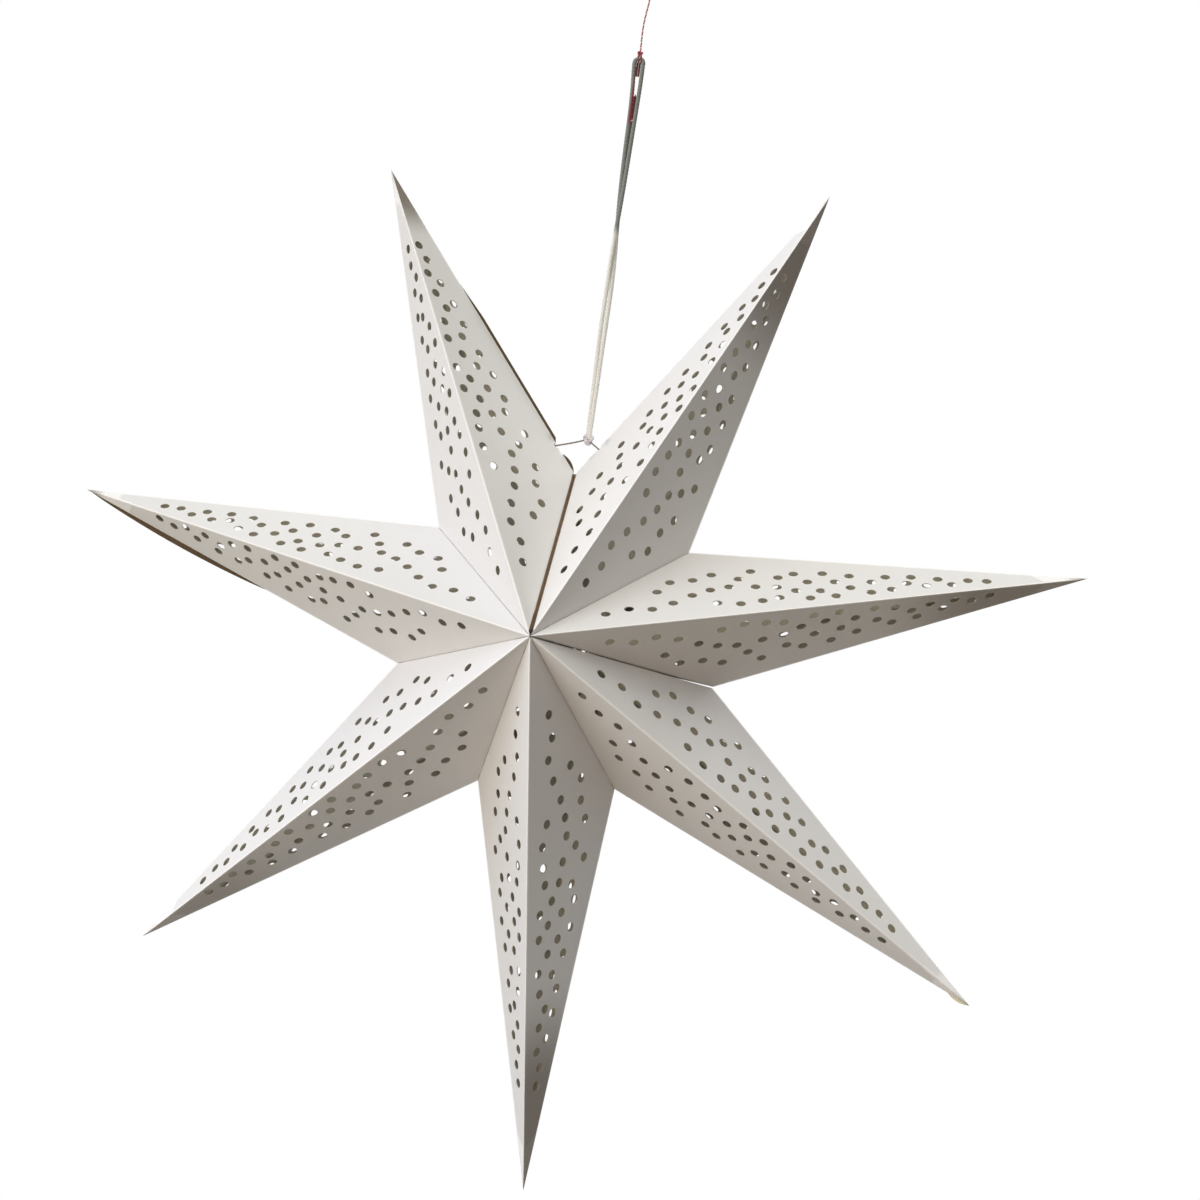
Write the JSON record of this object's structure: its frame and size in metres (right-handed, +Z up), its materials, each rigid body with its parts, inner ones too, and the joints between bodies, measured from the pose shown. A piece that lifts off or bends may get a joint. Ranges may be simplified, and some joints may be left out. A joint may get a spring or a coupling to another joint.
{
  "type": "folded paper star lantern",
  "caption": "Folded paper star lantern with punched dots, tied shut at its top valley and hung from a tape and thread, with a small lamp inside.",
  "frame": {"origin": "inner top of the thread loop, where a hook takes the lantern", "axes": "+Z up along the hanging line, -Y out of the front apex, +X to the right as seen from the front"},
  "size_m": [0.583, 0.17, 0.7096],
  "materials": {
    "white_card": "smooth matte white card",
    "kraft_board": "plain brown board",
    "twisted_thread": "red and white twisted cotton thread",
    "woven_tape": "ribbed woven tape",
    "tie_cord": "thin twisted cord",
    "steel_wire": "drawn wire",
    "white_plastic": "fine grained moulding",
    "cell_wrap": "smooth printed wrap, left plain",
    "contact_metal": "plated spring strip",
    "circuit_board": "coated board",
    "led_lens": "clear warm lens",
    "frosted_plastic": "frosted",
    "dark_plastic": "fine grained"
  },
  "bodies": {
    "hook_loop": {"hanging_loop": "twisted_thread"},
    "thread": {"thread": "twisted_thread", "thread_hitch": "twisted_thread"},
    "tape": {"tape_loop": "woven_tape", "tie_knot": "woven_tape", "tie_left": "tie_cord", "tie_right": "tie_cord"},
    "star": {"point_1": "white_card", "point_2": "white_card", "point_3": "white_card", "point_4": "white_card", "point_5": "white_card", "point_6": "white_card", "point_7": "white_card", "seam_board_1": "kraft_board", "seam_board_2": "kraft_board"},
    "lamp": {"lamp_bail": "steel_wire", "lamp_housing": "white_plastic", "cell_1": "cell_wrap", "cell_2": "cell_wrap", "cell_3": "cell_wrap", "contact_top": "contact_metal", "contact_bottom": "contact_metal", "led_board": "circuit_board", "led": "led_lens", "lamp_dome": "frosted_plastic"},
    "lid": {"lamp_lid": "white_plastic"},
    "switch": {"switch_knob": "dark_plastic"}
  },
  "joints": [
    {"name": "thread_twist", "type": "hinge", "parent": "hook_loop", "child": "thread", "pos_m": [0, 0, -0.01505], "axis": [0, 0, 1], "continuous": true},
    {"name": "tape_swing", "type": "hinge", "parent": "thread", "child": "tape", "pos_m": [-0.002, 0, -0.0606], "axis": [1, 0, 0], "range_deg": [-60, 60]},
    {"name": "star_tilt", "type": "hinge", "parent": "tape", "child": "star", "pos_m": [-0.00546, 0, -0.2896], "axis": [0.9994, 0, 0.0347], "range_deg": [-25, 25]},
    {"name": "lamp_swing", "type": "hinge", "parent": "star", "child": "lamp", "pos_m": [-0.00412, 0, -0.32272], "axis": [1, 0, 0], "range_deg": [-15, 15]},
    {"name": "lid_slide", "type": "slide", "parent": "lamp", "child": "lid", "axis": [0, 0, 1], "range_m": [0, 0.004]},
    {"name": "switch_slide", "type": "slide", "parent": "lamp", "child": "switch", "axis": [1, 0, 0], "range_m": [0, 0.003]}
  ]
}
